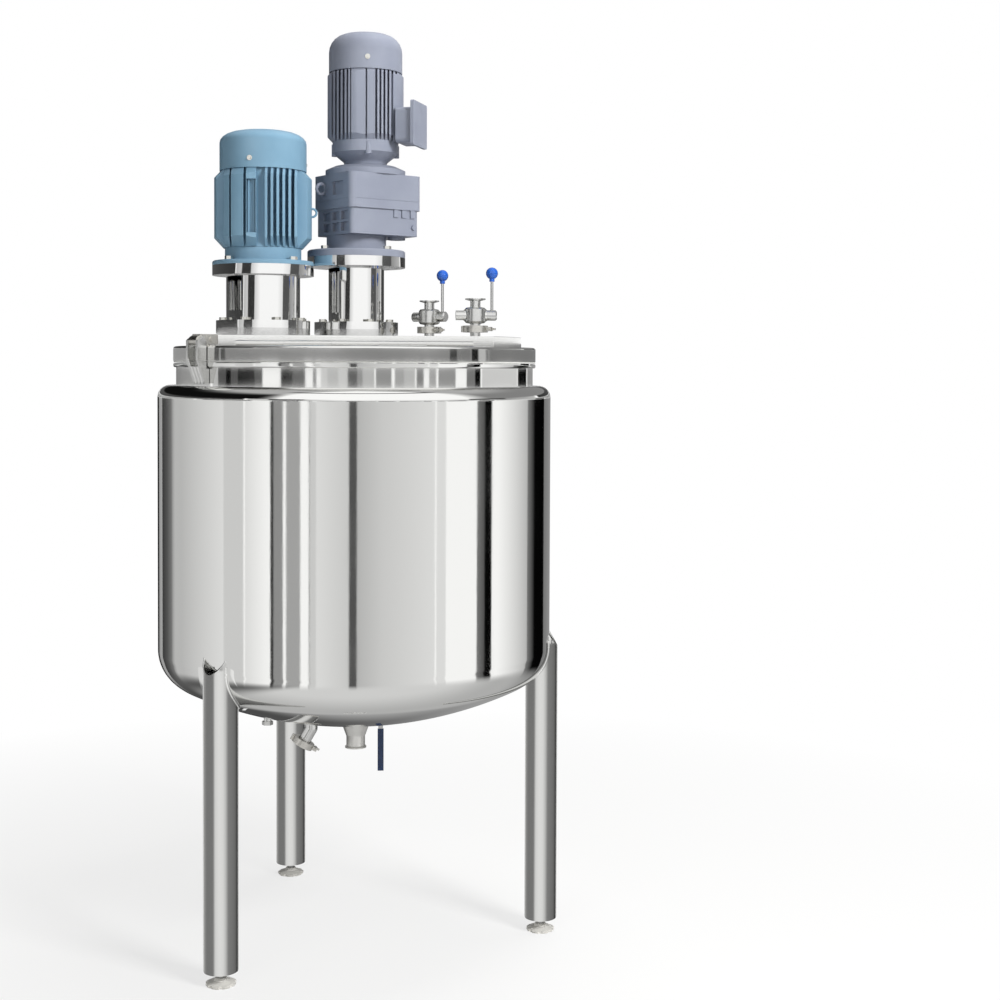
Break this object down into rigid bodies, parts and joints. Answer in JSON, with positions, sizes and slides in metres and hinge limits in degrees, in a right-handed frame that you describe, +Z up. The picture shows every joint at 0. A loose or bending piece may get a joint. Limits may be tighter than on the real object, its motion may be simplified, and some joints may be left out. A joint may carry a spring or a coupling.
{
  "type": "mixing tank",
  "caption": "Jacketed stainless mixing tank on three legs, with a hinged hatch, an anchor agitator drive and a high-shear mixer drive on the lid.",
  "frame": {"origin": "on the tank's axis at the floor", "axes": "+Z up the tank's axis, -Y towards the hatch at the front"},
  "size_m": [1.0175, 1, 2.299],
  "materials": {
    "polished_steel": "mirror-polished stainless steel with a faint vertical polish grain",
    "vessel_steel": "polished stainless steel inside the vessel",
    "satin_steel": "satin stainless steel",
    "cast_steel": "investment-cast stainless steel, bead blasted",
    "machined_steel": "turned and ground stainless steel",
    "white_gasket": "food-grade silicone",
    "ptfe": "scraped PTFE",
    "blue_paint": "semi-gloss enamel over a finned aluminium casting",
    "grey_paint": "semi-gloss enamel over cast iron",
    "lantern_steel": "turned and polished stainless steel",
    "disc_steel": "turned stainless steel",
    "zinc": "zinc-plated steel",
    "foot_plastic": "moulded nylon",
    "knob_blue": "glossy phenolic ball",
    "grip_blue": "dipped vinyl sleeve",
    "rotor_steel": "machined stainless steel"
  },
  "bodies": {
    "root": {"inner_vessel": "vessel_steel", "jacket_shell": "polished_steel", "rim_flange": "polished_steel", "lid_gasket": "white_gasket", "lid_cover": "polished_steel", "hinge_fixed_leaves": "satin_steel", "hinge_pins": "machined_steel", "bridge_plate": "satin_steel", "legs": "satin_steel", "leg_end_plugs": "satin_steel", "foot_pads": "foot_plastic", "foot_studs": "machined_steel", "bottom_outlet": "satin_steel", "jacket_nozzles": "satin_steel", "tri_clamps": "cast_steel", "drain_valve_body": "cast_steel", "lid_nozzles": "satin_steel", "lid_valve_bodies": "satin_steel", "clamp_bracket": "satin_steel", "agitator_lantern": "lantern_steel", "shear_lantern": "lantern_steel", "mount_discs": "disc_steel", "lantern_bolts": "zinc", "shaft_seals": "machined_steel", "shear_motor_flange": "blue_paint", "shear_motor_frame": "blue_paint", "shear_motor_cover": "blue_paint", "fan_cover_screws": "zinc", "gear_output_flange": "grey_paint", "gear_case": "grey_paint", "motor_adapter": "grey_paint", "motor_bell": "grey_paint", "motor_frame": "grey_paint", "motor_cover": "grey_paint", "terminal_box": "grey_paint", "terminal_box_lid": "grey_paint", "mixing_stator": "rotor_steel", "head_rods": "machined_steel", "head_dome_nuts": "machined_steel", "shaft_bush": "ptfe"},
    "agitator": {"agitator_shaft": "machined_steel", "agitator_coupling": "machined_steel", "anchor_frame": "satin_steel", "wall_scrapers": "ptfe"},
    "gear_motor_rotor": {"motor_rotor": "machined_steel"},
    "shear_drive": {"shear_shaft": "machined_steel", "shear_coupling": "machined_steel", "mixing_rotor": "rotor_steel", "rotor_dome_nut": "machined_steel", "booster_propeller": "rotor_steel", "shear_motor_rotor": "machined_steel"},
    "hatch": {"hatch": "polished_steel", "hinge_hatch_leaves": "satin_steel"},
    "lid_clamp": {"clamp_arm": "cast_steel"},
    "lid_valve_1": {"lid_valve_lever_1": "machined_steel", "lid_valve_knob_1": "knob_blue"},
    "lid_valve_2": {"lid_valve_lever_2": "machined_steel", "lid_valve_knob_2": "knob_blue"},
    "jacket_drain": {"drain_lever": "machined_steel", "drain_lever_grip": "grip_blue"}
  },
  "joints": [
    {"name": "agitator_spin", "type": "hinge", "parent": "root", "child": "agitator", "pos_m": [0, 0, 1.6], "axis": [0, 0, 1], "continuous": true},
    {"name": "gear_motor_spin", "type": "hinge", "parent": "root", "child": "gear_motor_rotor", "pos_m": [0.023, 0, 2.1], "axis": [0, 0, 1], "continuous": true},
    {"name": "shear_spin", "type": "hinge", "parent": "root", "child": "shear_drive", "pos_m": [-0.23, -0.108, 1.6], "axis": [0, 0, 1], "continuous": true},
    {"name": "hatch_hinge", "type": "hinge", "parent": "root", "child": "hatch", "pos_m": [0, -0.3345, 1.5083], "axis": [-1, 0, 0], "range_deg": [0, 100]},
    {"name": "clamp_swing", "type": "hinge", "parent": "root", "child": "lid_clamp", "pos_m": [-0.37605, -0.28855, 1.514], "axis": [0.6088, -0.7934, 0], "range_deg": [0, 110]},
    {"name": "lid_valve_turn_1", "type": "hinge", "parent": "root", "child": "lid_valve_1", "pos_m": [0.188, 0.01, 1.582], "axis": [0.788, -0.6157, 0], "range_deg": [0, 90]},
    {"name": "lid_valve_turn_2", "type": "hinge", "parent": "root", "child": "lid_valve_2", "pos_m": [0.297, -0.14, 1.582], "axis": [1, 0, 0], "range_deg": [0, 90]},
    {"name": "drain_turn", "type": "hinge", "parent": "root", "child": "jacket_drain", "pos_m": [0.066, 0.2, 0.509], "axis": [0, 1, 0], "range_deg": [0, 90]}
  ],
  "couplings": [
    {"joint": "gear_motor_spin", "follows": "agitator_spin", "ratio": 20}
  ]
}
